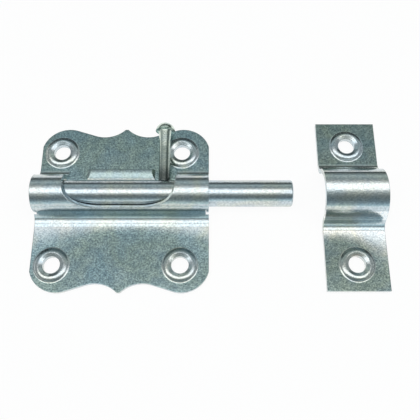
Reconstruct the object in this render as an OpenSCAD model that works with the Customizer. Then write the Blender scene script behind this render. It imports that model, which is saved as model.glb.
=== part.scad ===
// Slide bolt with a guide plate, a round rod, a knob pin and a keeper.
// The origin is the middle of the guide plate's four screw holes, on the face that lies on the door.
// X runs along the rod towards the keeper, Y towards the side that the knob lies on, Z off the door.

/* [Sheet metal] */
// Thickness of the sheet that the guide plate and the keeper are pressed from
sheet_t = 1.4; // [1.1:0.1:1.6]

/* [Bolt rod] */
// Diameter of the rod
rod_d = 8; // [7:0.25:8.5]
// Length of the rod
rod_len = 75; // [70:0.5:80]
// Rounding of the rod's two end edges
rod_edge_r = 0.6; // [0.3:0.1:1]
// How far the rod's tip stands out of the guide plate
rod_reach = 24.8; // [23:0.1:26]
// Gap between the rod and the door
door_gap = 0.2; // [0.1:0.05:0.4]
// Running clearance around the rod in its channel
rod_play = 0.3; // [0.25:0.05:0.4]

/* [Guide plate] */
// Width of the guide plate, along the rod
plate_w = 52; // [50:0.5:56]
// Height of the guide plate, across the rod
plate_h = 52.2; // [50:0.2:56]
// Height of the rod's axis above the plate's middle line
rod_rise = 3.2; // [2:0.1:4]
// Radius of the plate's four corner lobes
lobe_r = 8.3; // [7.8:0.1:8.8]
// How much the plate's straight sides cut off the lobes
lobe_cut = 0.3; // [0.1:0.05:0.5]
// Radius of the four scallops in the upper and lower edges
scallop_r = 9.2; // [8.6:0.1:9.6]
// Depth of the scallops
scallop_depth = 2.65; // [2.3:0.05:3]
// Distance from the plate's middle to each scallop
scallop_x = 6.9; // [6.6:0.1:7.4]
// Inner radius of the bends at the foot of the channel, on the side seen from the front
foot_r = 3.5; // [3:0.1:4]

/* [Window] */
// Length of the window in the channel
window_len = 33.2; // [31:0.1:36]
// Distance from the plate's middle back to the window's middle
window_shift = 0.4; // [0:0.1:0.8]
// How far the window reaches past the top of the channel, in degrees
window_front = 70; // [64:1:74]
// Length along the rod of the window's two rounded front corners
corner_len = 10.5; // [9:0.1:12]
// Depth around the rod of the window's two rounded front corners
corner_depth = 7; // [6.2:0.1:7.6]
// Width of the slot at the keeper's end of the window, where the knob pin lies down
slot_w = 6.8; // [6.4:0.1:7.4]
// Width of the slot at the other end of the window
far_slot_w = 5.6; // [5.2:0.1:6.2]
// Gap between the rod and the flat sheet's cut edge below the window
slot_gap = 1.6; // [1.2:0.1:2]
// Height of the lug between the slots above the plate
lug_h = 0.7; // [0.5:0.05:1]
// Length of the lug's slope, from its crest down to the cut edge
lug_run = 3; // [2.4:0.1:3.2]
// Length of the slopes at the lug's two ends
lug_bevel = 1; // [0.6:0.1:1.4]

/* [Rod ears] */
// Length along the rod of the ears that hold it in at both ends of the channel
ear_w = 0.7; // [0.6:0.1:1.1]
// How far the ears wrap under the rod, in degrees
ear_wrap = 36; // [32:1:38]
// Thickness by which the ears are nipped thinner than the sheet on each side
ear_nip = 0.05; // [0.03:0.01:0.1]
// Width of the notch that frees the ears from the plate, across the rod
ear_notch = 0.5; // [0.4:0.1:1]
// Width of the slit that frees the ears from the channel's wall, along the rod
ear_slit = 0.2; // [0.15:0.05:0.4]

/* [Screw holes] */
// Diameter of the screw holes
hole_d = 5.1; // [4.5:0.1:5.4]
// Spacing of the plate's screw holes along the rod
hole_pitch_x = 37.4; // [36.4:0.1:38]
// Spacing of the plate's screw holes across the rod
hole_pitch_y = 36.1; // [35:0.1:37]
// Distance from the middle of the screw holes to the middle of the plate
hole_shift = 1.1; // [0:0.1:1.4]
// Diameter of the raised ring around each hole
boss_d = 10.2; // [9.6:0.1:10.8]
// Diameter of the raised ring's ridge
ridge_d = 7.2; // [6.6:0.1:7.6]
// Height of the ridge above the sheet
ridge_h = 0.8; // [0.5:0.05:1]
// Fillet between the raised ring and the sheet
ring_fillet = 0.8; // [0.5:0.1:1]
// Slope of the screw seat inside the ridge, in degrees
seat_slope = 28; // [20:1:32]
// Depth of the groove behind the raised ring
groove_depth = 0.7; // [0.4:0.05:0.8]
// Width of the rim between the hole and the groove
groove_rim = 0.4; // [0.3:0.05:0.6]

/* [Knob pin] */
// Diameter of the knob pin at the rod
pin_d = 3.4; // [3.2:0.1:3.6]
// Diameter of the knob pin under its head
neck_d = 4; // [3.7:0.05:4.1]
// Length of the flare that widens the pin towards its head
flare_len = 5; // [4:0.5:8]
// Length of the knob pin between the rod and its head
pin_len = 16.55; // [14:0.05:18]
// Diameter of the head
head_d = 6; // [5.2:0.1:6.2]
// Height of the head
head_h = 2.7; // [2:0.1:2.9]
// Fillet between the pin and its head
head_fillet = 0.6; // [0.3:0.05:0.8]
// Gap between the rod and the foot of the knob pin
pin_play = 0.05; // [0.03:0.01:0.08]
// Distance from the window's end to the axis of the knob pin
pin_inset = 3.7; // [3.2:0.05:4.6]
// How far the knob pin is lifted off the door, in degrees
pin_lift = 2; // [1.5:0.5:4]

/* [Keeper] */
// Width of the keeper, along the rod
keeper_w = 18.3; // [16:0.1:20]
// Height of the keeper, across the rod
keeper_h = 53.8; // [52:0.2:56]
// Distance from the rod's tip to the keeper
keeper_away = 9.2; // [6:0.1:14]
// Height of the rod's axis above the keeper's middle
keeper_rise = 2; // [1:0.1:3]
// Inner radius of the keeper's arch
arch_r = 7.1; // [6.5:0.1:7.5]
// Clearance between the top of the rod and the keeper's arch
arch_play = 0.5; // [0.4:0.05:0.8]
// Inner radius of the bends at the foot of the arch, on the side seen from the front
arch_foot_r = 3.2; // [2.6:0.1:3.4]
// Spacing of the keeper's two screw holes
keeper_pitch = 38.1; // [36.5:0.1:40]

/* [Hidden] */
$fn = 96;

// Depth by which cutters run past the metal
past = 1;
// Overlap by which an arc runs into the line or arc that it touches
blend = 0.004;

// Rod and channel, seen along the rod
rod_y = rod_rise;
rod_z = door_gap + rod_d / 2;
channel_r = rod_d / 2 + rod_play;
channel_out_r = channel_r + sheet_t;
foot_z = sheet_t + foot_r;
foot_y = bend_y(channel_out_r, rod_z, foot_r);

// Places along the rod
plate_x = hole_shift;
rod_tip_x = plate_x + plate_w / 2 + rod_reach;
window_x = plate_x - window_shift;
pin_x = window_x + window_len / 2 - pin_inset;
keeper_x = rod_tip_x + keeper_away + keeper_w / 2;
keeper_y = rod_y - keeper_rise;
arch_z = rod_z + rod_d / 2 + arch_play - arch_r;

// Lobes and scallops of the plate's outline, with the straight line that touches both
lobe = [plate_w / 2 + lobe_cut - lobe_r, plate_h / 2 - lobe_r];
scallop = [scallop_x, plate_h / 2 - scallop_depth + scallop_r];
lobe_way = atan2(lobe.y - scallop.y, lobe.x - scallop.x);
lobe_lean = acos(min(1, (lobe_r + scallop_r) / norm(lobe - scallop)));
touch_way = [cos(lobe_way - lobe_lean), sin(lobe_way - lobe_lean)];

// Window: its punch comes in almost square to the sheet at the front edge
punch_angle = 60;
punch_front = channel_out_r * sin(window_front - punch_angle);
// The rounded corners end this far inside the window's straight ends, this far behind the rod's axis
corner_inset = 0.15;
corner_end = 1.2;
slot_y = rod_d / 2 + slot_gap;

// Lug: its slope ends this far above the sheet, and its crest is this wide
lug_lip = 0.05;
lug_crest = 0.4;
lug_arc_r = (pow(lug_run, 2) + pow(lug_h - lug_lip, 2)) / (2 * (lug_h - lug_lip));

// Ears: they leave the channel's wall a little above the rod's axis, and run up into it by this angle
ear_root = 1;
ear_bond = 10;
ear_top = asin((ear_root + sheet_t) / channel_out_r) + ear_bond;

// Screw holes
ridge_r = ridge_d / 2;
ring_run = (boss_d - ridge_d) / 2;
ring_arc_r = (pow(ring_run, 2) + pow(ridge_h, 2)) / (2 * ridge_h);
ring_arc = [ridge_r, sheet_t + ridge_h - ring_arc_r];
fillet_z = sheet_t + ring_fillet - blend;
fillet_x = ridge_r + sqrt(pow(ring_arc_r + ring_fillet - blend, 2) - pow(fillet_z - ring_arc.y, 2));
seat_depth = (ridge_r - hole_d / 2) * tan(seat_slope);

steel = [0.66, 0.71, 0.73];
bright_steel = [0.74, 0.78, 0.80];

// Part of a ring between two angles
module ring_part(in_r, out_r, from, to) {
    step = (to - from) / 4;
    intersection() {
        difference() {
            circle(out_r);
            circle(in_r);
        }
        polygon([[0, 0], for (i = [0:4]) 2 * out_r * [cos(from + i * step), sin(from + i * step)]]);
    }
}

// Distance in Y from the arch's axis to the centre of a foot bend
function bend_y(out_r, axis_z, bend_r) =
    sqrt(pow(out_r + bend_r - blend, 2) - pow(sheet_t + bend_r - blend - axis_z, 2));

// Space under one skin of a strap: the arch, and what lies below the two foot bends
module strap_skin(arch_r, axis_z, bend_at, bend_r, floor_z) {
    translate([0, axis_z]) circle(arch_r);
    difference() {
        polygon([
            [-bend_at.x, floor_z], [bend_at.x, floor_z], bend_at, [0, axis_z], [-bend_at.x, bend_at.y]
        ]);
        for (side = [-1, 1]) translate([side * bend_at.x, bend_at.y]) circle(bend_r);
    }
}

// Cross-section of a strap that runs over an arch: two flanges, two foot bends and the arch.
// It is drawn around the arch's axis in Y, with the door at height zero.
module strap_section(in_r, axis_z, bend_r, up, down) {
    bend_at = [bend_y(in_r + sheet_t, axis_z, bend_r), sheet_t + bend_r - blend];
    difference() {
        union() {
            strap_skin(in_r + sheet_t, axis_z, bend_at, bend_r, 0);
            translate([-down, 0]) square([up + down, sheet_t]);
        }
        strap_skin(in_r, axis_z, bend_at, bend_r + sheet_t, -past - in_r);
    }
}

// Stands a drawing in Y and Z on the rod's axis line and pulls it along X, centred on x
module along_rod(x, width) {
    translate([x - width / 2, rod_y, 0]) rotate([90, 0, 90]) linear_extrude(width) children();
}

// Outline of the guide plate from the front, around its middle
module plate_outline() {
    intersection() {
        square([plate_w, plate_h + 2 * past], center = true);
        difference() {
            for (mx = [0, 1], my = [0, 1]) mirror([mx, 0]) mirror([0, my]) {
                polygon([
                    [-past, -past], [plate_w / 2 + past, -past], [plate_w / 2 + past, lobe.y - past], lobe,
                    lobe - (lobe_r - blend) * touch_way, scallop + (scallop_r - blend) * touch_way,
                    [scallop.x, plate_h / 2], [-past, plate_h / 2]
                ]);
                translate(lobe) circle(lobe_r);
            }
            for (sx = [-1, 1], sy = [-1, 1])
                translate([sx * scallop.x, sy * scallop.y]) circle(scallop_r);
        }
    }
}

// Raised ring around a screw hole, to add to the sheet: an arc down from the ridge, and its fillet
module hole_ring() {
    rotate_extrude() {
        intersection() {
            union() {
                translate(ring_arc) circle(ring_arc_r);
                difference() {
                    polygon([ring_arc, [fillet_x, ring_arc.y], [fillet_x, fillet_z]]);
                    translate([fillet_x, fillet_z]) circle(ring_fillet);
                }
            }
            translate([0, sheet_t / 2]) square([boss_d, sheet_t + ridge_h]);
        }
        translate([0, sheet_t / 2]) square([ridge_r, sheet_t / 2 + ridge_h]);
    }
}

// Screw hole with its seat and the groove behind the ring, to cut from the sheet
module hole_cut() {
    seat_z = sheet_t + ridge_h - seat_depth;
    seat_run = past / tan(seat_slope);
    rim_r = hole_d / 2 + groove_rim;
    groove_r = (boss_d - groove_depth) / 2;
    translate([0, 0, -past]) cylinder(d = hole_d, h = sheet_t + ridge_h + 2 * past);
    translate([0, 0, seat_z])
        cylinder(r1 = hole_d / 2, r2 = ridge_r + seat_run, h = seat_depth + past);
    rotate_extrude() polygon([
        [rim_r, -past], [groove_r, -past], [groove_r, 0], [ridge_r, groove_depth], [rim_r, 0]
    ]);
}

// Front part of the window, with its rounded corners, cut towards the rod's axis
module window_front_cut() {
    corner = [window_len / 2 - corner_inset - corner_len, punch_front - corner_depth];
    translate([window_x, rod_y, rod_z]) rotate([punch_angle, 0, 0])
        linear_extrude(2 * channel_out_r) translate([0, -corner.y]) {
            for (side = [-1, 1]) translate([side * corner.x, 0])
                scale([corner_len / corner_depth, 1]) circle(corner_depth);
            square(2 * [corner.x, corner_depth - blend], center = true);
        }
}

// Back part of the window, down to the door
module window_back_cut() {
    along_rod(window_x, window_len)
        translate([corner_end, -past]) square([foot_y - corner_end, rod_z + channel_out_r + 2 * past]);
}

// Flat sheet below the window, which ends at a cut edge beside the rod
module window_floor() {
    along_rod(window_x, window_len)
        translate([slot_y, 0]) square([foot_y - slot_y + past, sheet_t]);
}

// Low lug between the slots: it slopes down to the cut edge and to its two ends
module lug() {
    from = window_x - window_len / 2 + far_slot_w;
    to = window_x + window_len / 2 - slot_w;
    end_run = lug_bevel * (lug_h - lug_lip + past) / (lug_h - lug_lip);
    intersection() {
        along_rod((from + to) / 2, to - from + 2 * past) intersection() {
            translate([slot_y + lug_run, sheet_t + lug_h - lug_arc_r]) circle(lug_arc_r);
            translate([slot_y, sheet_t / 2]) square([lug_run + lug_crest, sheet_t + lug_h]);
        }
        translate([0, rod_y + foot_y, 0]) rotate([90, 0, 0]) linear_extrude(foot_y) polygon([
            [from, 0], [from, sheet_t + lug_lip], [from + end_run, sheet_t + lug_h + past],
            [to - end_run, sheet_t + lug_h + past], [to, sheet_t + lug_lip], [to, 0]
        ]);
    }
}

// Notches that free the ears from the plate at both ends of the channel
module ear_notches() {
    side_w = channel_out_r + ear_notch;
    cut_w = ear_w + ear_slit + past;
    for (end = [-1, 1]) along_rod(plate_x + end * (plate_w / 2 + past - cut_w / 2), cut_w)
        translate([-side_w, -past]) square([2 * side_w, rod_z + past + ear_root]);
}

// Ears that wrap a little way under the rod, so that it can't drop out behind
module ears() {
    for (end = [-1, 1]) along_rod(plate_x + end * (plate_w / 2 - ear_nip - ear_w / 2), ear_w)
        for (side = [0, 1]) mirror([side, 0]) translate([0, rod_z])
            ring_part(channel_r + ear_nip, channel_out_r - ear_nip, -ear_wrap, ear_top);
}

// Guide plate: one sheet with a channel for the rod, a window for the knob pin and four screw holes
module guide_plate() color(steel) {
    difference() {
        union() {
            difference() {
                intersection() {
                    along_rod(plate_x, plate_w)
                        strap_section(channel_r, rod_z, foot_r, plate_h / 2 - rod_y, plate_h / 2 + rod_y);
                    translate([plate_x, 0, -past])
                        linear_extrude(rod_z + channel_out_r + 2 * past) plate_outline();
                }
                window_front_cut();
                window_back_cut();
                ear_notches();
            }
            window_floor();
            lug();
            ears();
            for (sx = [-1, 1], sy = [-1, 1])
                translate([sx * hole_pitch_x / 2, sy * hole_pitch_y / 2, 0]) hole_ring();
        }
        for (sx = [-1, 1], sy = [-1, 1])
            translate([sx * hole_pitch_x / 2, sy * hole_pitch_y / 2, 0]) hole_cut();
    }
}

// Keeper: a strap with a wider arch that the rod slides into, and a screw hole in each flange
module keeper() color(steel) {
    difference() {
        union() {
            along_rod(keeper_x, keeper_w)
                strap_section(arch_r, arch_z, arch_foot_r, keeper_h / 2 - keeper_rise, keeper_h / 2 + keeper_rise);
            for (sy = [-1, 1]) translate([keeper_x, keeper_y + sy * keeper_pitch / 2, 0]) hole_ring();
        }
        for (sy = [-1, 1]) translate([keeper_x, keeper_y + sy * keeper_pitch / 2, 0]) hole_cut();
    }
}

// Round rod with rounded end edges
module bolt_rod() color(bright_steel) {
    translate([rod_tip_x - rod_len, rod_y, rod_z]) rotate([90, 0, 90]) rotate_extrude() {
        square([rod_d / 2 - rod_edge_r, rod_len]);
        translate([0, rod_edge_r]) square([rod_d / 2, rod_len - 2 * rod_edge_r]);
        for (y = [rod_edge_r, rod_len - rod_edge_r])
            translate([rod_d / 2 - rod_edge_r, y]) circle(rod_edge_r);
    }
}

// Knob pin: a shank that flares towards its domed head, its foot hollowed to the rod
module knob_pin() color(bright_steel) {
    head_z = rod_d / 2 + pin_len;
    neck_z = head_z - head_fillet;
    dome_r = (pow(head_d / 2, 2) + pow(head_h, 2)) / (2 * head_h);
    translate([pin_x, rod_y, rod_z]) rotate([pin_lift - 90, 0, 0]) {
        difference() {
            rotate_extrude() polygon([
                [0, 0], [pin_d / 2, 0], [pin_d / 2, neck_z - flare_len], [neck_d / 2, neck_z],
                [neck_d / 2, head_z], [0, head_z]
            ]);
            rotate([0, 90, 0]) cylinder(r = rod_d / 2 + pin_play, h = 2 * pin_d, center = true);
        }
        translate([0, 0, head_z]) rotate_extrude() {
            intersection() {
                translate([0, head_h - dome_r]) circle(dome_r);
                square([head_d, head_h]);
            }
            difference() {
                translate([0, -head_fillet]) square([neck_d / 2 + head_fillet, head_fillet + head_h / 4]);
                translate([neck_d / 2 + head_fillet, -head_fillet]) circle(head_fillet);
            }
        }
    }
}

guide_plate();
keeper();
bolt_rod();
knob_pin();
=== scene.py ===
from math import pi, radians, tan

import bmesh
import bpy
from bpy.props import FloatProperty, FloatVectorProperty, PointerProperty
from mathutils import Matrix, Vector

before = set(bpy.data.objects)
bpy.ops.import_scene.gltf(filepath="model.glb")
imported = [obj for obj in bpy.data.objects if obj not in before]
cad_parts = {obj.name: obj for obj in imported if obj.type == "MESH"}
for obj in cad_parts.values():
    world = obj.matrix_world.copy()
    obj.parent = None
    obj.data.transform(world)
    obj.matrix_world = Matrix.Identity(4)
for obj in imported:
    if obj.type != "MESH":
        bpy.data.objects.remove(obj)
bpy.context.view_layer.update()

bl_info = {
    "name": "Slide bolt",
    "version": (1, 0, 0),
    "blender": (4, 5, 0),
    "location": "View3D > Sidebar > Slide bolt",
    "description": "Zinc plating, stage and camera for a small slide bolt with a keeper",
    "category": "Add Mesh",
}

MM = 0.001
WHITE = (1.0, 1.0, 1.0)


# Settings ------------------------------------------------------------------

class ZincSettings(bpy.types.PropertyGroup):
    """Looks of the zinc plating"""
    sheet_color: FloatVectorProperty(
        name="Sheet colour", description="Main colour of the plating on the pressed sheets",
        subtype="COLOR", size=3, min=0, max=1, default=(0.62, 0.67, 0.68))
    # Painted shade: the plate's flats get this darker colour, besides their greater roughness.
    plate_flat_shade_color: FloatVectorProperty(
        name="Plate flats",
        description="Colour of the duller plating on the guide plate's flat parts",
        subtype="COLOR", size=3, min=0, max=1, default=(0.38, 0.50, 0.52))
    # Painted shade: the plate's front flange by the channel's foot gets this darker colour, with a
    # warm tint.
    plate_foot_shade_color: FloatVectorProperty(
        name="Plate foot",
        description="Colour of the warmer plating on the plate's front flange near the channel",
        subtype="COLOR", size=3, min=0, max=1, default=(0.48, 0.47, 0.46))
    # Painted shade: the fold at the channel's front foot gets this darker colour.
    fold_shade_color: FloatVectorProperty(
        name="Fold colour",
        description="Colour of the duller plating in the fold at the channel's front foot",
        subtype="COLOR", size=3, min=0, max=1, default=(0.54, 0.61, 0.62))
    # The low lug gets this darker colour.
    lug_color: FloatVectorProperty(
        name="Lug colour", description="Colour of the duller plating on the low lug",
        subtype="COLOR", size=3, min=0, max=1, default=(0.34, 0.43, 0.46))
    # Painted highlight: the lug's end that looks towards the keeper gets this near-white colour.
    lug_end_highlight_color: FloatVectorProperty(
        name="Lug end",
        description="Colour of the bright plating on the lug's end on the keeper's side",
        subtype="COLOR", size=3, min=0, max=1, default=(0.98, 1.0, 1.0))
    # Painted shade: the keeper's flats get this darker colour, besides their greater roughness.
    keeper_flat_shade_color: FloatVectorProperty(
        name="Keeper flats", description="Colour of the duller plating on the keeper's flat parts",
        subtype="COLOR", size=3, min=0, max=1, default=(0.345, 0.43, 0.42))
    keeper_foot_color: FloatVectorProperty(
        name="Keeper foot",
        description="Colour of the warmer plating on the keeper's front flange near the arch",
        subtype="COLOR", size=3, min=0, max=1, default=(0.68, 0.665, 0.645))
    # Painted highlight: the front flank of the keeper's arch gets this near-white colour.
    keeper_flank_highlight_color: FloatVectorProperty(
        name="Keeper flank",
        description="Colour of the bright plating on the front flank of the keeper's arch",
        subtype="COLOR", size=3, min=0, max=1, default=(0.98, 1.0, 1.0))
    # Painted shade: the rings' rear slopes get this dark colour.
    ring_shade_color: FloatVectorProperty(
        name="Ring shade",
        description="Colour of the dull rear slopes of the rings around the screw holes",
        subtype="COLOR", size=3, min=0, max=1, default=(0.20, 0.25, 0.26))
    rod_color: FloatVectorProperty(
        name="Rod colour", description="Main colour of the plating on the rod",
        subtype="COLOR", size=3, min=0, max=1, default=(0.62, 0.67, 0.69))
    knob_color: FloatVectorProperty(
        name="Knob colour", description="Main colour of the plating on the knob pin",
        subtype="COLOR", size=3, min=0, max=1, default=(0.48, 0.545, 0.525))
    # Painted shade: a dark stripe along the knob pin, where its normal leans halfway to X.
    knob_shade_stripe_color: FloatVectorProperty(
        name="Knob streak", description="Colour of the dull streak along the knob pin",
        subtype="COLOR", size=3, min=0, max=1, default=(0.16, 0.20, 0.19))
    tint_size: FloatProperty(
        name="Tint size", description="Size of the plating's faint colour clouds",
        unit="LENGTH", min=0.001, max=0.05, default=0.016)
    grain_size: FloatProperty(
        name="Grain size", description="Size of the plating's fine grain",
        unit="LENGTH", min=0.0001, max=0.002, default=0.0005)
    edge_round: FloatProperty(
        name="Edge rounding", description="Radius by which cut edges look rounded",
        unit="LENGTH", min=0, max=0.0005, default=0.00028)
    bow_angle: FloatProperty(
        name="Flange bow", description="How far the front flanges curl up towards their front edge",
        subtype="ANGLE", min=0, max=0.2, default=radians(5.2))
    bow_run: FloatProperty(
        name="Bow run",
        description="Length over which a front flange passes from hollow to bowed",
        unit="LENGTH", min=0.001, max=0.01, default=0.0017)
    bow_level: FloatProperty(
        name="Bow level",
        description="Distance from the arch's foot to where a front flange is level",
        unit="LENGTH", min=0.001, max=0.01, default=0.0020)
    lean_angle: FloatProperty(
        name="Lean",
        description="How far pressing makes the arches and their feet lean, times a part's share",
        subtype="ANGLE", min=0, max=0.4, default=radians(12))
    wave_size: FloatProperty(
        name="Wave size", description="Size of the faint waves that pressing leaves in the sheet",
        unit="LENGTH", min=0.003, max=0.05, default=0.010)
    wave_height: FloatProperty(
        name="Wave height", description="Height of those waves",
        unit="LENGTH", min=0, max=0.0005, default=0.00006)


class StageSettings(bpy.types.PropertyGroup):
    """Camera, floor and light"""
    camera_place: FloatVectorProperty(
        name="Camera", description="Where the camera stands",
        subtype="TRANSLATION", unit="LENGTH", size=3, default=(0.027445, -0.05729, 0.15598))
    camera_target: FloatVectorProperty(
        name="Target", description="Point that the camera looks at",
        subtype="TRANSLATION", unit="LENGTH", size=3, default=(0.027445, -0.00103, 0.0014))
    camera_lens: FloatProperty(
        name="Lens", description="Focal length of the camera in millimetres",
        subtype="DISTANCE_CAMERA", min=20, max=120, default=46.8)
    tent_radius: FloatProperty(
        name="Tent radius", description="Radius of the half-round light tent",
        unit="LENGTH", min=0.4, max=2, default=0.7)
    tent_length: FloatProperty(
        name="Tent length", description="Length of the light tent along the rod",
        unit="LENGTH", min=0.4, max=4, default=1.6)
    softbox_light: FloatProperty(
        name="Softbox", description="Strength of the overhead softbox",
        min=0, max=5, default=1.7)
    horizon_light: FloatProperty(
        name="Horizon", description="Strength of the light tent near the floor in front",
        min=0, max=5, default=0.95)
    front_light: FloatProperty(
        name="Front", description="Strength of the grey cloth in front",
        min=0, max=5, default=0.21)
    back_light: FloatProperty(
        name="Back", description="Strength of the grey cloth behind",
        min=0, max=5, default=0.36)
    strip_light: FloatProperty(
        name="Strip", description="Strength of the narrow light strip behind",
        min=0, max=5, default=0.55)
    flag_light: FloatProperty(
        name="Flag", description="Strength of the dark cloth near the floor behind",
        min=0, max=1, default=0.10)
    end_light: FloatProperty(
        name="End panels", description="Strength of the panels at both ends",
        min=0, max=1, default=0.36)
    floor_color: FloatVectorProperty(
        name="Floor colour", description="Colour of the floor",
        subtype="COLOR", size=3, min=0, max=1, default=(0.9, 0.9, 0.9))


# Node helpers --------------------------------------------------------------

class Nodes:
    """Adds nodes to a material or world and links them."""

    def __init__(self, owner):
        owner.use_nodes = True
        self.tree = owner.node_tree
        self.tree.nodes.clear()

    def add(self, kind, links=None, sockets=None, **options):
        """links holds outputs and sockets holds values, both by input name or number."""
        node = self.tree.nodes.new(kind)
        for name, value in options.items():
            setattr(node, name, value)
        for name, value in (sockets or {}).items():
            node.inputs[name].default_value = value
        for name, output in (links or {}).items():
            self.tree.links.new(output, node.inputs[name])
        return node

    def fill(self, socket, value):
        """Links an input to an output, or gives it a value."""
        if isinstance(value, bpy.types.NodeSocket):
            self.tree.links.new(value, socket)
        else:
            socket.default_value = value

    def ramp(self, factor, stops):
        """Colour by factor. stops holds a position from 0 to 1 and a colour each."""
        node = self.add("ShaderNodeValToRGB", {"Fac": factor})
        elements = node.color_ramp.elements
        while len(elements) < len(stops):
            elements.new(1.0)
        for element, (position, colour) in zip(elements, stops):
            element.position = position
            element.color = (*colour, 1.0)
        return node.outputs["Color"]

    def spread(self, factor, low, high, start=0.0, end=1.0):
        """Runs from low to high as factor runs from start to end, and stays there beyond."""
        node = self.add(
            "ShaderNodeMapRange", {"Value": factor},
            {"From Min": start, "From Max": end, "To Min": low, "To Max": high})
        return node.outputs["Result"]

    def math(self, operation, *values):
        """Each value is a number or an output."""
        node = self.add("ShaderNodeMath", operation=operation)
        for socket, value in zip(node.inputs, values):
            self.fill(socket, value)
        return node.outputs["Value"]

    def vector(self, operation, *values):
        """Each value is a vector or an output."""
        node = self.add("ShaderNodeVectorMath", operation=operation)
        for socket, value in zip(node.inputs, values):
            self.fill(socket, value)
        return node.outputs["Vector"]

    def split(self, vector):
        """Outputs X, Y and Z of a vector."""
        return self.add("ShaderNodeSeparateXYZ", {"Vector": vector}).outputs

    def noise(self, vector, size, detail, rough=0.5):
        """Noise from 0 to 1 whose lumps are about size metres across."""
        node = self.add(
            "ShaderNodeTexNoise", {"Vector": vector},
            {"Scale": 1.0 / size, "Detail": detail, "Roughness": rough})
        return node.outputs["Fac"]

    def mix(self, kind, a, b, factor):
        """kind is MIX or MULTIPLY; a and b are colours or outputs, factor a number or an output."""
        node = self.add("ShaderNodeMix", data_type="RGBA", blend_type=kind)
        # The node has sockets of one name for each data type, so these are taken by number.
        factor_socket, a_socket, b_socket, colour_output = 0, 6, 7, 2
        self.fill(node.inputs[factor_socket], factor)
        self.fill(node.inputs[a_socket], a)
        self.fill(node.inputs[b_socket], b)
        return node.outputs[colour_output]

    def bump(self, height, normal, distance=1.0):
        """Normal tilted by a height. The height times distance is in metres."""
        node = self.add(
            "ShaderNodeBump", {"Height": height, "Normal": normal},
            {"Strength": 1.0, "Distance": distance})
        return node.outputs["Normal"]

    def inside(self, place, centre, half):
        """1 inside a box, 0 outside."""
        share = self.vector("DIVIDE", self.vector("SUBTRACT", place, centre), half)
        parts = self.split(self.vector("ABSOLUTE", share))
        largest = self.math("MAXIMUM", self.math("MAXIMUM", parts["X"], parts["Y"]), parts["Z"])
        return self.math("LESS_THAN", largest, 1.0)

    def sloped(self, facing, axis, middle, near, far):
        """1 where the normal's part along axis is within near of middle, falling to 0 at far."""
        off = self.math("ABSOLUTE", self.math("SUBTRACT", facing[axis], middle))
        return self.spread(off, 1.0, 0.0, near, far)


# Patches, mostly of painted light and shade, and forms of the plating ---------------

# Slopes that a patch can be limited to, as Nodes.sloped reads them: rear slopes, for the rings'
# painted shade, ends that look towards the keeper, for the lug end's painted highlight, and a band
# along the lying knob pin, for its painted shade.
REAR_SLOPES = ("Y", 1.0, 0.66, 0.88)
KEEPER_SIDE_ENDS = ("X", 1.0, 0.3, 0.7)
PIN_BAND = ("X", 0.5, 0.06, 0.24)

# The rings' slopes, which get painted shade, in millimetres, each as middle and half width: along
# X across both sheets, in height, and along Y for the rear and the front row of screw holes.
RINGS_X = (27, 60)
RINGS_Z = (2.6, 1.15)
RING_ROWS_Y = ((24.5, 6.0), (-14.2, 3.8))

# A sheet's flats, which get painted shade and more roughness: the normal's Z rises through the
# first range onto them, and they end within the second range, of height.
FLAT_FACING = (0.975, 0.997)
FLAT_HEIGHT = (1.5 * MM, 2.2 * MM)
# Behind this range of Y, the flats get their painted shade and roughness right up to the arch.
REAR_FLANGE = (3.0 * MM, 4.0 * MM)


def patch(colour, centre, half, slope=None):
    """Box with its own colour, given by centre and half size in millimetres, and by its slope."""
    return colour, [value * MM for value in centre], [value * MM for value in half], slope


def ring_shade_patches(settings):
    """Painted shade on the rear slopes of the rings around the screw holes, a box for each row of
    holes.
    """
    patches = []
    for row in RING_ROWS_Y:
        centre, half = zip(RINGS_X, row, RINGS_Z)
        patches.append(patch(settings.ring_shade_color, centre, half, REAR_SLOPES))
    return patches


def patched(nodes, place, facing, colour, patches):
    """The plating's colour, with that of each patch, mostly painted light and shade, in its box
    and on its slope.
    """
    main = (*colour, 1.0)
    for patch_colour, centre, half, slope in patches:
        share = nodes.inside(place, centre, half)
        if slope is not None:
            share = nodes.math("MULTIPLY", share, nodes.sloped(facing, *slope))
        main = nodes.mix("MIX", main, (*patch_colour, 1.0), share)
    return main


def lit_and_shaded_along_y(nodes, parts, main, light_and_shade):
    """Painted light and shade along Y: the colour times a share that changes along Y. fade holds
    millimetres and shares.
    """
    start, end = light_and_shade[0][0], light_and_shade[-1][0]
    most = max(share for _, share in light_and_shade)
    across = nodes.spread(parts["Y"], 0.0, 1.0, start * MM, end * MM)
    dimmed = nodes.ramp(
        across, [((y - start) / (end - start), (share / most,) * 3) for y, share in light_and_shade])
    main = nodes.mix("MULTIPLY", main, (most, most, most, 1.0), 1.0)
    return nodes.mix("MULTIPLY", main, dimmed, 1.0)


def hollow(nodes, parts, foot):
    """Distance from the arch's foot out over the front flange, and the flange's stretch there.

    foot holds the Y at which the flange starts, the X at which its bow is narrowest, and how
    fast the bow widens, in parts of its width for each square metre.
    """
    start, middle, widening = foot
    beside = nodes.math("SUBTRACT", parts["X"], middle)
    square = nodes.math("MULTIPLY", beside, beside)
    stretch = nodes.math("MULTIPLY_ADD", square, widening, 1.0)
    away = nodes.math("MAXIMUM", nodes.math("SUBTRACT", start, parts["Y"]), 0.0)
    return nodes.math("DIVIDE", away, stretch), stretch


def curl(nodes, away, stretch, settings):
    """Height of a front flange that sinks from the arch's foot and curls up to its front edge.

    It is lowest, and level, at the bow level.
    """
    run = settings.bow_run
    bend = nodes.math("ARCTANGENT", nodes.math("DIVIDE", away, run))
    sink = nodes.math("MULTIPLY", bend, (settings.bow_level ** 2 + run ** 2) / run)
    rise = nodes.math("MULTIPLY", nodes.math("SUBTRACT", away, sink), stretch)
    return nodes.math("MULTIPLY", rise, tan(settings.bow_angle))


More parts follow.
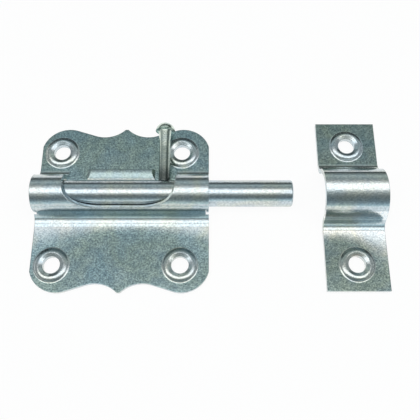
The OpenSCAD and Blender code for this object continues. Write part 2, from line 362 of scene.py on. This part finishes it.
def lean(nodes, parts, settings, ranges):
    """Height that tilts each range of Y or Z, in millimetres, by a share of the lean angle."""
    height = 0.0
    for axis, low, high, share in ranges:
        held = nodes.math("MINIMUM", nodes.math("MAXIMUM", parts[axis], low * MM), high * MM)
        height = nodes.math("MULTIPLY_ADD", held, tan(settings.lean_angle * share), height)
    return height


def flatness(nodes, parts, facing, away, flat_run):
    """1 on the flats, which get painted shade and more roughness, 0 on slopes and raised forms.

    In front, the flats get both over flat_run from the arch's foot.
    """
    low = nodes.spread(parts["Z"], 1.0, 0.0, *FLAT_HEIGHT)
    level = nodes.math("MULTIPLY", nodes.spread(facing["Z"], 0.0, 1.0, *FLAT_FACING), low)
    behind = nodes.spread(parts["Y"], 0.0, 1.0, *REAR_FLANGE)
    in_front = nodes.spread(away, 0.0, 1.0, 0.0, flat_run)
    return nodes.math("MULTIPLY", level, nodes.math("MAXIMUM", in_front, behind))


# Zinc plating --------------------------------------------------------------

# Ramp positions and the tint that each gives the plating.
CLOUD_TINTS = (
    (0.36, (0.93, 1.00, 1.06)),
    (0.46, (0.99, 1.00, 1.00)),
    (0.54, (1.04, 1.03, 0.95)),
    (0.64, (0.95, 1.00, 1.04)),
)
BLOTCH_TINTS = ((0.34, (0.86, 0.89, 0.91)), (0.64, (1.11, 1.10, 1.07)))
GRAIN_TINTS = ((0.36, (0.38, 0.44, 0.46)), (0.50, WHITE), (0.66, (1.50, 1.48, 1.44)))
# Ramp positions between which a drawing line passes from dark to clear.
LINE_DARK, LINE_CLEAR = 0.35, 0.6

# Sizes against the grain's, and how much longer than wide the drawing lines are.
BLOTCH_SIZE, PIT_SIZE, LINE_SIZE = 4.0, 0.9, 0.6
LINE_STRETCH = 25.0
# Share of the grain and blotches that shows on the shiny parts. The flats, with their painted
# shade, show all of it.
SHINY_GRAIN = 0.35
# What the fine pits add to the roughness, and their depth.
PIT_ROUGHNESS = (-0.04, 0.06)
PIT_DEPTH = 0.03 * MM
EDGE_SAMPLES = 6


def zinc(name, settings, colour, streak, polish, sheet=None, patches=(), light_and_shade=()):
    """Bright zinc plating: faint colour clouds, a fine grain and drawing lines along the rod.

    streak is how dark the drawing lines are and polish is the roughness of shiny parts. patches
    are made by patch(), and most of them hold painted light and shade. fade is read by faded() and
    paints light and shade along Y. sheet is given for a pressed sheet alone, and holds the flats'
    flat_shade_color, flat_polish and flat_run, the foot that hollow() reads, and the leans that
    lean() reads. It gives the flats painted shade and more roughness, and gives curled front
    flanges and faint waves.
    """
    material = bpy.data.materials.new(name)
    nodes = Nodes(material)
    coordinates = nodes.add("ShaderNodeTexCoord").outputs
    place = coordinates["Object"]
    clouds = nodes.noise(place, settings.tint_size, detail=3.0, rough=0.55)
    grain = nodes.noise(place, settings.grain_size, detail=4.0, rough=0.8)
    blotches = nodes.noise(place, settings.grain_size * BLOTCH_SIZE, detail=2.0, rough=0.6)
    pits = nodes.noise(place, settings.grain_size * PIT_SIZE, detail=2.0, rough=0.6)
    along = nodes.add(
        "ShaderNodeMapping", {"Vector": place}, {"Scale": (1.0 / LINE_STRETCH, 1.0, 1.0)})
    lines = nodes.noise(along.outputs["Vector"], settings.grain_size * LINE_SIZE, detail=2.0)

    parts, facing = nodes.split(place), nodes.split(coordinates["Normal"])
    base = patched(nodes, place, facing, colour, patches)
    shine, grainy = polish, SHINY_GRAIN
    if sheet is not None:
        away, stretch = hollow(nodes, parts, sheet["foot"])
        flat = flatness(nodes, parts, facing, away, sheet["flat_run"])
        # Painted shade: the flats take the darker flat colour.
        base = nodes.mix("MIX", base, (*sheet["flat_shade_color"], 1.0), flat)
        shine = nodes.spread(flat, polish, sheet["flat_polish"])
        grainy = nodes.spread(flat, SHINY_GRAIN, 1.0)
    # Painted light and shade along Y.
    if light_and_shade:
        base = lit_and_shaded_along_y(nodes, parts, base, light_and_shade)
    layers = (
        (clouds, CLOUD_TINTS, 1.0),
        (lines, ((LINE_DARK, (1.0 - streak,) * 3), (LINE_CLEAR, WHITE)), 1.0),
        (blotches, BLOTCH_TINTS, grainy),
        (grain, GRAIN_TINTS, grainy),
    )
    for pattern, tints, share in layers:
        base = nodes.mix("MULTIPLY", base, nodes.ramp(pattern, tints), share)
    rough = nodes.math("ADD", nodes.spread(pits, *PIT_ROUGHNESS), shine)

    edges = nodes.add(
        "ShaderNodeBevel", sockets={"Radius": settings.edge_round}, samples=EDGE_SAMPLES)
    normal = edges.outputs["Normal"]
    if sheet is not None:
        curled = curl(nodes, away, stretch, settings)
        leaning = lean(nodes, parts, settings, sheet["leans"])
        normal = nodes.bump(nodes.math("ADD", curled, leaning), normal)
        waves = nodes.noise(place, settings.wave_size, detail=1.0)
        normal = nodes.bump(waves, normal, settings.wave_height)
    normal = nodes.bump(pits, normal, PIT_DEPTH)
    metal = nodes.add(
        "ShaderNodeBsdfPrincipled",
        {"Base Color": base, "Roughness": rough, "Normal": normal},
        {"Metallic": 1.0})
    nodes.add("ShaderNodeOutputMaterial", {"Surface": metal.outputs["BSDF"]})
    return material


# Pieces --------------------------------------------------------------------

def dress(node, material):
    """Gives a CAD node its material."""
    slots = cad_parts[node].data.materials
    slots.clear()
    slots.append(material)


class SLIDEBOLT_OT_guide_plate(bpy.types.Operator):
    """Plates the guide plate with zinc"""
    bl_idname = "slidebolt.guide_plate"
    bl_label = "Guide plate"

    def execute(self, context):
        settings = context.scene.slidebolt_zinc
        dress("guide_plate", zinc(
            "guide_plate_zinc", settings, settings.sheet_color, streak=0.03, polish=0.20,
            sheet={
                "flat_shade_color": settings.plate_flat_shade_color,
                "flat_polish": 0.22,
                "flat_run": 2.6 * MM,
                "foot": (-5.2 * MM, 4.0 * MM, 3000.0),
                "leans": (("Y", -5.0, -3.9, -0.75), ("Y", -3.9, -2.6, 1.4), ("Z", 4.6, 6.8, -1.0)),
            },
            patches=[
                # Darker colour on the low lug.
                patch(settings.lug_color, (0, 11.0, 3.0), (11, 1.8, 1.5)),
                # Painted highlight on the lug's end that looks towards the keeper.
                patch(settings.lug_end_highlight_color, (0, 11.0, 3.0), (14, 1.8, 1.5), KEEPER_SIDE_ENDS),
                # Painted shade in the fold at the channel's front foot.
                patch(settings.fold_shade_color, (0, -3.1, 3.5), (30, 0.8, 1.4)),
                # Painted shade, with a warm tint, on the flange by the channel's foot.
                patch(settings.plate_foot_shade_color, (0, -9.8, 0.9), (30, 3.5, 1.0)),
                # Painted shade on the rings' rear slopes.
                *ring_shade_patches(settings),
            ]))
        return {"FINISHED"}


class SLIDEBOLT_OT_keeper(bpy.types.Operator):
    """Plates the keeper with zinc"""
    bl_idname = "slidebolt.keeper"
    bl_label = "Keeper"

    def execute(self, context):
        settings = context.scene.slidebolt_zinc
        dress("keeper", zinc(
            "keeper_zinc", settings, settings.sheet_color, streak=0.03, polish=0.17,
            sheet={
                "flat_shade_color": settings.keeper_flat_shade_color,
                "flat_polish": 0.22,
                "flat_run": 3.6 * MM,
                "foot": (-7.3 * MM, 64.5 * MM, 12000.0),
                "leans": (("Y", -7.3, -6.4, -0.75), ("Y", -6.4, 11.5, 1.0), ("Z", 4.4, 8.2, 0.75)),
            },
            patches=[
                patch(settings.keeper_foot_color, (70, -11.5, 0.9), (10, 4.0, 1.0)),
                # Painted highlight on the front flank of the arch.
                patch(settings.keeper_flank_highlight_color, (70, -4.2, 5.3), (10, 1.3, 1.6)),
                # Painted shade on the rings' rear slopes.
                *ring_shade_patches(settings),
            ]))
        return {"FINISHED"}


class SLIDEBOLT_OT_rod(bpy.types.Operator):
    """Plates the bolt rod with zinc"""
    bl_idname = "slidebolt.rod"
    bl_label = "Bolt rod"

    def execute(self, context):
        settings = context.scene.slidebolt_zinc
        dress("bolt_rod", zinc(
            "rod_zinc", settings, settings.rod_color, streak=0.10, polish=0.18))
        return {"FINISHED"}


class SLIDEBOLT_OT_knob(bpy.types.Operator):
    """Plates the knob pin with zinc"""
    bl_idname = "slidebolt.knob"
    bl_label = "Knob pin"

    def execute(self, context):
        settings = context.scene.slidebolt_zinc
        dress("knob_pin", zinc(
            "knob_zinc", settings, settings.knob_color, streak=0.0, polish=0.20,
            # Painted shade: a dark stripe along the pin.
            patches=[patch(settings.knob_shade_stripe_color, (13.6, 16, 5), (6, 9, 6), PIN_BAND)],
            # Painted shade towards the rod and painted light towards the head.
            light_and_shade=((8.5, 0.32), (10.2, 0.52), (12.0, 0.95), (16.0, 1.05), (20.0, 1.4))))
        return {"FINISHED"}


# Stage ---------------------------------------------------------------------

COOL, BLUE, WARM = (0.86, 1.0, 1.0), (0.78, 0.98, 1.06), (0.93, 1.0, 0.97)
END_TINT = (0.93, 1.0, 1.02)

# The light tent's cloth, from the front horizon over the top to the back horizon: degrees from
# the front horizon, the light there, the share of it, and its tint.
TENT_BANDS = (
    (0, "horizon", 1.0, COOL),
    (4, "horizon", 1.0, COOL),
    (12, "horizon", 0.68, BLUE),
    (20, "horizon", 0.5, BLUE),
    (26, "horizon", 0.3, BLUE),
    (32, "front", 1.0, BLUE),
    (48, "front", 1.0, COOL),
    (56, "front", 1.4, WARM),
    (63, "front", 2.3, WARM),
    (68, "softbox", 0.36, WARM),
    (72, "softbox", 0.55, WHITE),
    (76, "softbox", 1.0, WHITE),
    (98, "softbox", 1.0, WHITE),
    (102, "softbox", 0.7, WHITE),
    (106, "softbox", 0.42, WHITE),
    (111, "back", 1.4, WHITE),
    (118, "back", 1.0, COOL),
    (129, "back", 1.0, COOL),
    (136, "strip", 1.0, COOL),
    (142, "strip", 1.0, COOL),
    (148, "back", 1.0, COOL),
    (155, "flag", 2.5, COOL),
    (161, "flag", 1.0, COOL),
    (180, "flag", 1.0, COOL),
)
ARC_STEPS = 72
END_SEGMENTS = 48

# The floor's distance from its middle to an edge, how far it lies below the bolt, and its cells
# along a side.
FLOOR_REACH = 2.0
FLOOR_GAP = 0.02 * MM
FLOOR_CELLS = 8
# Strength of the floor's white to the eye, and the share of its own shade, with the bolt's
# shadow, that the eye sees.
FLOOR_WHITE = 1.04
FLOOR_SHADE = 0.12
# Strength of the world to the eye, and as a light.
ROOM_WHITE = 1.0
ROOM_LIGHT = 0.5
SENSOR_WIDTH = 36
CLIP_START, CLIP_END = 0.005, 20


def seen_by_eye(nodes):
    """1 for camera, glossy and transmission rays."""
    path = nodes.add("ShaderNodeLightPath").outputs
    shiny = nodes.math("MAXIMUM", path["Is Glossy Ray"], path["Is Transmission Ray"])
    return nodes.math("MAXIMUM", path["Is Camera Ray"], shiny)


def end_cloth(settings):
    """Light cloth of one tint for the tent's ends."""
    material = bpy.data.materials.new("end_cloth")
    nodes = Nodes(material)
    light = nodes.add(
        "ShaderNodeEmission", sockets={"Color": (*END_TINT, 1.0), "Strength": settings.end_light})
    nodes.add("ShaderNodeOutputMaterial", {"Surface": light.outputs["Emission"]})
    return material


def tent_cloth(settings):
    """Light cloth whose brightness and tint change with the angle round the X axis."""
    material = bpy.data.materials.new("tent_cloth")
    nodes = Nodes(material)
    parts = nodes.split(nodes.add("ShaderNodeTexCoord").outputs["Object"])
    angle = nodes.math("ARCTAN2", parts["Z"], nodes.math("MULTIPLY", parts["Y"], -1.0))
    lights = {
        "horizon": settings.horizon_light,
        "front": settings.front_light,
        "softbox": settings.softbox_light,
        "back": settings.back_light,
        "strip": settings.strip_light,
        "flag": settings.flag_light,
    }
    top = settings.softbox_light
    stops = []
    for degrees, source, share, tint in TENT_BANDS:
        level = lights[source] * share
        stops.append((degrees / 180, tuple(level / top * gain for gain in tint)))
    cloth = nodes.ramp(nodes.math("DIVIDE", angle, pi), stops)
    light = nodes.add("ShaderNodeEmission", {"Color": cloth}, {"Strength": top})
    nodes.add("ShaderNodeOutputMaterial", {"Surface": light.outputs["Emission"]})
    return material


def stage_piece(name, shape, material):
    """Makes a bmesh a piece of the stage."""
    mesh = bpy.data.meshes.new(name)
    shape.to_mesh(mesh)
    shape.free()
    mesh.materials.append(material)
    piece = bpy.data.objects.new(name, mesh)
    bpy.context.scene.collection.objects.link(piece)
    return piece


def tent_arc(name, settings, material):
    """Half-round cloth of the tent, from the floor in front over the top to the floor behind."""
    shape = bmesh.new()
    half = settings.tent_length / 2
    centre = settings.camera_target[0]
    verts = [
        shape.verts.new((centre + side * half, -settings.tent_radius, 0)) for side in (-1, 1)]
    edge = shape.edges.new(verts)
    bmesh.ops.spin(
        shape, geom=[edge, *verts], cent=(0, 0, 0), axis=(1, 0, 0), angle=-pi, steps=ARC_STEPS,
        use_merge=False)
    return stage_piece(name, shape, material)


def tent_end(name, settings, side, material):
    """Half-round panel that closes one end of the tent, at the left (-1) or the right (1)."""
    shape = bmesh.new()
    bmesh.ops.create_circle(
        shape, cap_ends=True, radius=settings.tent_radius, segments=END_SEGMENTS)
    bmesh.ops.bisect_plane(
        shape, geom=[*shape.verts, *shape.edges, *shape.faces],
        plane_co=(0, 0, 0), plane_no=(0, 1, 0), clear_inner=True)
    x = settings.camera_target[0] + side * settings.tent_length / 2
    for vert in shape.verts:
        vert.co = Vector((x, vert.co.x, vert.co.y))
    return stage_piece(name, shape, material)


class SLIDEBOLT_OT_stage(bpy.types.Operator):
    """Sets up the floor, the light tent, the world and the camera"""
    bl_idname = "slidebolt.stage"
    bl_label = "Stage"

    def execute(self, context):
        settings = context.scene.slidebolt_stage
        self.floor(settings)
        self.tent(settings)
        self.world(context.scene)
        self.camera(context.scene, settings)
        context.scene.view_settings.view_transform = "Standard"
        return {"FINISHED"}

    def floor(self, settings):
        """White to the eye but for a little shade, and plain pale card to all other light."""
        material = bpy.data.materials.new("pale_floor")
        nodes = Nodes(material)
        card = nodes.add(
            "ShaderNodeBsdfDiffuse", sockets={"Color": (*settings.floor_color, 1.0)})
        white = nodes.add(
            "ShaderNodeEmission", sockets={"Color": (*WHITE, 1.0), "Strength": FLOOR_WHITE})
        shaded = nodes.add(
            "ShaderNodeMixShader", {1: white.outputs[0], 2: card.outputs[0]}, {0: FLOOR_SHADE})
        both = nodes.add(
            "ShaderNodeMixShader",
            {0: seen_by_eye(nodes), 1: card.outputs[0], 2: shaded.outputs[0]})
        nodes.add("ShaderNodeOutputMaterial", {"Surface": both.outputs[0]})
        shape = bmesh.new()
        bmesh.ops.create_grid(
            shape, x_segments=FLOOR_CELLS, y_segments=FLOOR_CELLS, size=FLOOR_REACH)
        bmesh.ops.translate(shape, verts=shape.verts, vec=(0, 0, -FLOOR_GAP))
        stage_piece("floor", shape, material)

    def tent(self, settings):
        """The cloth and both ends, which the camera doesn't see and which cast no shadow."""
        ends = end_cloth(settings)
        panels = [
            tent_arc("light_tent", settings, tent_cloth(settings)),
            tent_end("left_panel", settings, -1, ends),
            tent_end("right_panel", settings, 1, ends),
        ]
        for panel in panels:
            panel.visible_camera = False
            panel.visible_shadow = False

    def world(self, scene):
        """White to the eye, with less light on the bolt."""
        scene.world = bpy.data.worlds.new("white_room")
        nodes = Nodes(scene.world)
        seen, lit = (
            nodes.add("ShaderNodeBackground", sockets={"Color": (*WHITE, 1.0), "Strength": level})
            for level in (ROOM_WHITE, ROOM_LIGHT))
        both = nodes.add(
            "ShaderNodeMixShader",
            {0: seen_by_eye(nodes), 1: lit.outputs[0], 2: seen.outputs[0]})
        nodes.add("ShaderNodeOutputWorld", {"Surface": both.outputs[0]})

    def camera(self, scene, settings):
        """Stands at its place and looks at its target."""
        data = bpy.data.cameras.new("camera")
        data.sensor_width = SENSOR_WIDTH
        data.lens = settings.camera_lens
        data.clip_start = CLIP_START
        data.clip_end = CLIP_END
        camera = bpy.data.objects.new("camera", data)
        scene.collection.objects.link(camera)
        camera.location = settings.camera_place
        way = Vector(settings.camera_target) - Vector(settings.camera_place)
        camera.rotation_euler = way.to_track_quat("-Z", "Y").to_euler()
        scene.camera = camera


# Panel and registration ----------------------------------------------------

class SLIDEBOLT_PT_panel(bpy.types.Panel):
    """Lists the slide bolt's operators"""
    bl_idname = "SLIDEBOLT_PT_panel"
    bl_label = "Slide bolt"
    bl_space_type = "VIEW_3D"
    bl_region_type = "UI"
    bl_category = "Slide bolt"

    def draw(self, context):
        for operator in OPERATORS:
            self.layout.operator(operator.bl_idname)
        for settings in (context.scene.slidebolt_zinc, context.scene.slidebolt_stage):
            for name in settings.__annotations__:
                self.layout.prop(settings, name)


OPERATORS = (
    SLIDEBOLT_OT_guide_plate,
    SLIDEBOLT_OT_keeper,
    SLIDEBOLT_OT_rod,
    SLIDEBOLT_OT_knob,
    SLIDEBOLT_OT_stage,
)
CLASSES = (ZincSettings, StageSettings, *OPERATORS, SLIDEBOLT_PT_panel)


def register():
    for item in CLASSES:
        bpy.utils.register_class(item)
    bpy.types.Scene.slidebolt_zinc = PointerProperty(type=ZincSettings)
    bpy.types.Scene.slidebolt_stage = PointerProperty(type=StageSettings)


def unregister():
    del bpy.types.Scene.slidebolt_stage
    del bpy.types.Scene.slidebolt_zinc
    for item in reversed(CLASSES):
        bpy.utils.unregister_class(item)


def main():
    register()
    bpy.ops.slidebolt.stage()
    bpy.ops.slidebolt.guide_plate()
    bpy.ops.slidebolt.keeper()
    bpy.ops.slidebolt.rod()
    bpy.ops.slidebolt.knob()
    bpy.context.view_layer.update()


if __name__ == "__main__":
    main()
